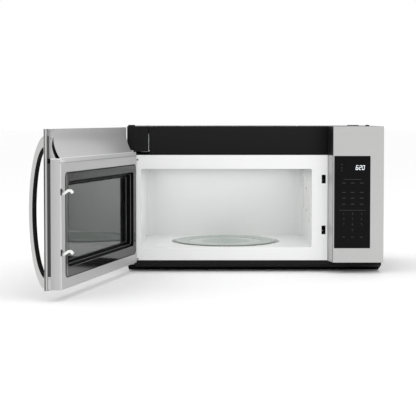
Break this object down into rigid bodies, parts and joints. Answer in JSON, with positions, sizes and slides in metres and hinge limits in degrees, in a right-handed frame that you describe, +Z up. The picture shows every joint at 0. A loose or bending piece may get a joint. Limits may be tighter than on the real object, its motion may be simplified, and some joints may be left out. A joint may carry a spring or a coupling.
{
  "type": "over the range microwave oven",
  "caption": "Over-the-range microwave oven with a left-hinged door, bowed handle, sprung latch, turning glass tray on a roller ring, touch panel, vent blower and damper.",
  "frame": {"origin": "centre of the case's underside, in the plane that it stands on", "axes": "+X to the right seen from the front, +Y towards the wall, +Z up"},
  "size_m": [0.9675, 0.961, 0.439],
  "materials": {
    "black_enamel": "satin black powder coat on folded sheet steel",
    "white_enamel": "smooth white oven enamel",
    "cavity_enamel": "light grey oven enamel",
    "stainless": "fine brushed stainless steel",
    "zinc_steel": "bright zinc plated steel",
    "galvanised": "galvanised sheet steel",
    "black_plastic": "fine-grained black moulding",
    "gloss_black": "gloss black moulding",
    "grey_plastic": "warm grey moulding",
    "light_grey_plastic": "light grey moulding",
    "white_plastic": "natural white acetal",
    "tray_glass": "clear glass with a faint green edge",
    "door_glass": "clear inner door glass",
    "black_glass": "black tinted glass",
    "mica": "grey mica sheet",
    "aluminium": "aluminium mesh and castings",
    "lamination": "lacquered steel laminations and copper windings",
    "circuit_board": "green circuit board with components",
    "filter_media": "charcoal granules in a plastic cassette",
    "rubber": "soft black strip",
    "lamp_glass": "lamp glass"
  },
  "bodies": {
    "chassis": {"outer_case": "black_enamel", "back_plate": "galvanised", "base_plate": "black_enamel", "base_trim": "black_plastic", "front_frame": "white_enamel", "cavity_liner": "cavity_enamel", "vent_grille": "black_plastic", "hinge_cover": "black_plastic", "upper_hinge_bracket": "zinc_steel", "lower_hinge_bracket": "zinc_steel", "waveguide_cover": "mica", "waveguide": "galvanised", "turntable_motor": "zinc_steel", "control_housing": "grey_plastic", "control_fascia": "stainless", "keypad_glass": "black_glass", "display": "black_plastic", "control_board": "circuit_board", "latch_board": "white_plastic", "interlock_switches": "black_plastic", "grease_filters": "aluminium", "cooktop_lens": "lamp_glass", "cooktop_lamp": "lamp_glass", "component_shelf": "galvanised", "transformer": "lamination", "capacitor": "aluminium", "magnetron": "aluminium", "cavity_lamp": "lamp_glass", "fan_housing": "black_plastic", "blower_housing": "galvanised", "blower_motor": "aluminium", "charcoal_filter": "filter_media", "cord_bushing": "black_plastic", "case_clips": "black_plastic"},
    "turntable": {"glass_tray": "tray_glass", "turntable_coupler": "white_plastic"},
    "roller_ring": {"roller_ring": "white_plastic"},
    "roller_wheel_1": {"roller_wheel_1": "white_plastic"},
    "roller_wheel_2": {"roller_wheel_2": "white_plastic"},
    "roller_wheel_3": {"roller_wheel_3": "white_plastic"},
    "cooling_fan": {"cooling_fan": "grey_plastic"},
    "blower_rotor": {"blower_rotor": "black_plastic"},
    "damper": {"damper_flap": "galvanised"},
    "lower_plunger": {"lower_switch_plunger": "white_plastic"},
    "upper_plunger": {"upper_switch_plunger": "white_plastic"},
    "latch": {"latch_head": "white_plastic"},
    "door": {"door_skin": "stainless", "outer_glass": "black_glass", "door_core": "black_plastic", "door_bushings": "white_plastic", "choke_cover": "light_grey_plastic", "window_trim": "gloss_black", "inner_glass": "door_glass", "door_screen": "black_enamel", "scoop_plate": "grey_plastic", "scoop_end_caps": "grey_plastic", "door_handle": "stainless", "handle_liner": "rubber", "handle_screws": "zinc_steel", "latch_spring": "zinc_steel"}
  },
  "joints": [
    {"name": "door_hinge", "type": "hinge", "parent": "chassis", "child": "door", "pos_m": [-0.3675, -0.205, 0.2], "axis": [0, 0, 1], "range_deg": [-5, 105]},
    {"name": "latch_slide", "type": "slide", "parent": "door", "child": "latch", "axis": [0, 0, 1], "range_m": [0, 0.006], "stiffness_N_per_m": 60, "springref_m": -0.005, "deforming": ["latch_spring"]},
    {"name": "turntable_spin", "type": "hinge", "parent": "chassis", "child": "turntable", "pos_m": [-0.08365, 0.003, 0.065], "axis": [0, 0, 1], "continuous": true},
    {"name": "roller_ring_spin", "type": "hinge", "parent": "chassis", "child": "roller_ring", "pos_m": [-0.08365, 0.003, 0.0623], "axis": [0, 0, 1], "continuous": true},
    {"name": "roller_wheel_1_spin", "type": "hinge", "parent": "roller_ring", "child": "roller_wheel_1", "pos_m": [-0.08365, 0.107, 0.0623], "axis": [0, 1, 0], "continuous": true},
    {"name": "roller_wheel_2_spin", "type": "hinge", "parent": "roller_ring", "child": "roller_wheel_2", "pos_m": [-0.17372, -0.049, 0.0623], "axis": [-0.866, -0.5, 0], "continuous": true},
    {"name": "roller_wheel_3_spin", "type": "hinge", "parent": "roller_ring", "child": "roller_wheel_3", "pos_m": [0.00642, -0.049, 0.0623], "axis": [0.866, -0.5, 0], "continuous": true},
    {"name": "cooling_fan_spin", "type": "hinge", "parent": "chassis", "child": "cooling_fan", "pos_m": [0.27575, 0.16, 0.205], "axis": [0, 1, 0], "continuous": true},
    {"name": "blower_spin", "type": "hinge", "parent": "chassis", "child": "blower_rotor", "pos_m": [0, 0.11075, 0.3637], "axis": [1, 0, 0], "continuous": true},
    {"name": "damper_hinge", "type": "hinge", "parent": "chassis", "child": "damper", "pos_m": [0, 0.169, 0.4296], "axis": [-1, 0, 0], "range_deg": [0, 80]},
    {"name": "lower_plunger_slide", "type": "slide", "parent": "chassis", "child": "lower_plunger", "axis": [0, 1, 0], "range_m": [0, 0.0015], "stiffness_N_per_m": 300, "springref_m": -0.0005},
    {"name": "upper_plunger_slide", "type": "slide", "parent": "chassis", "child": "upper_plunger", "axis": [0, 1, 0], "range_m": [0, 0.0015], "stiffness_N_per_m": 300, "springref_m": -0.0005}
  ],
  "couplings": [
    {"joint": "roller_ring_spin", "follows": "turntable_spin", "ratio": 0.5},
    {"joint": "roller_wheel_1_spin", "follows": "turntable_spin", "ratio": -7.4286},
    {"joint": "roller_wheel_2_spin", "follows": "turntable_spin", "ratio": -7.4286},
    {"joint": "roller_wheel_3_spin", "follows": "turntable_spin", "ratio": -7.4286}
  ]
}
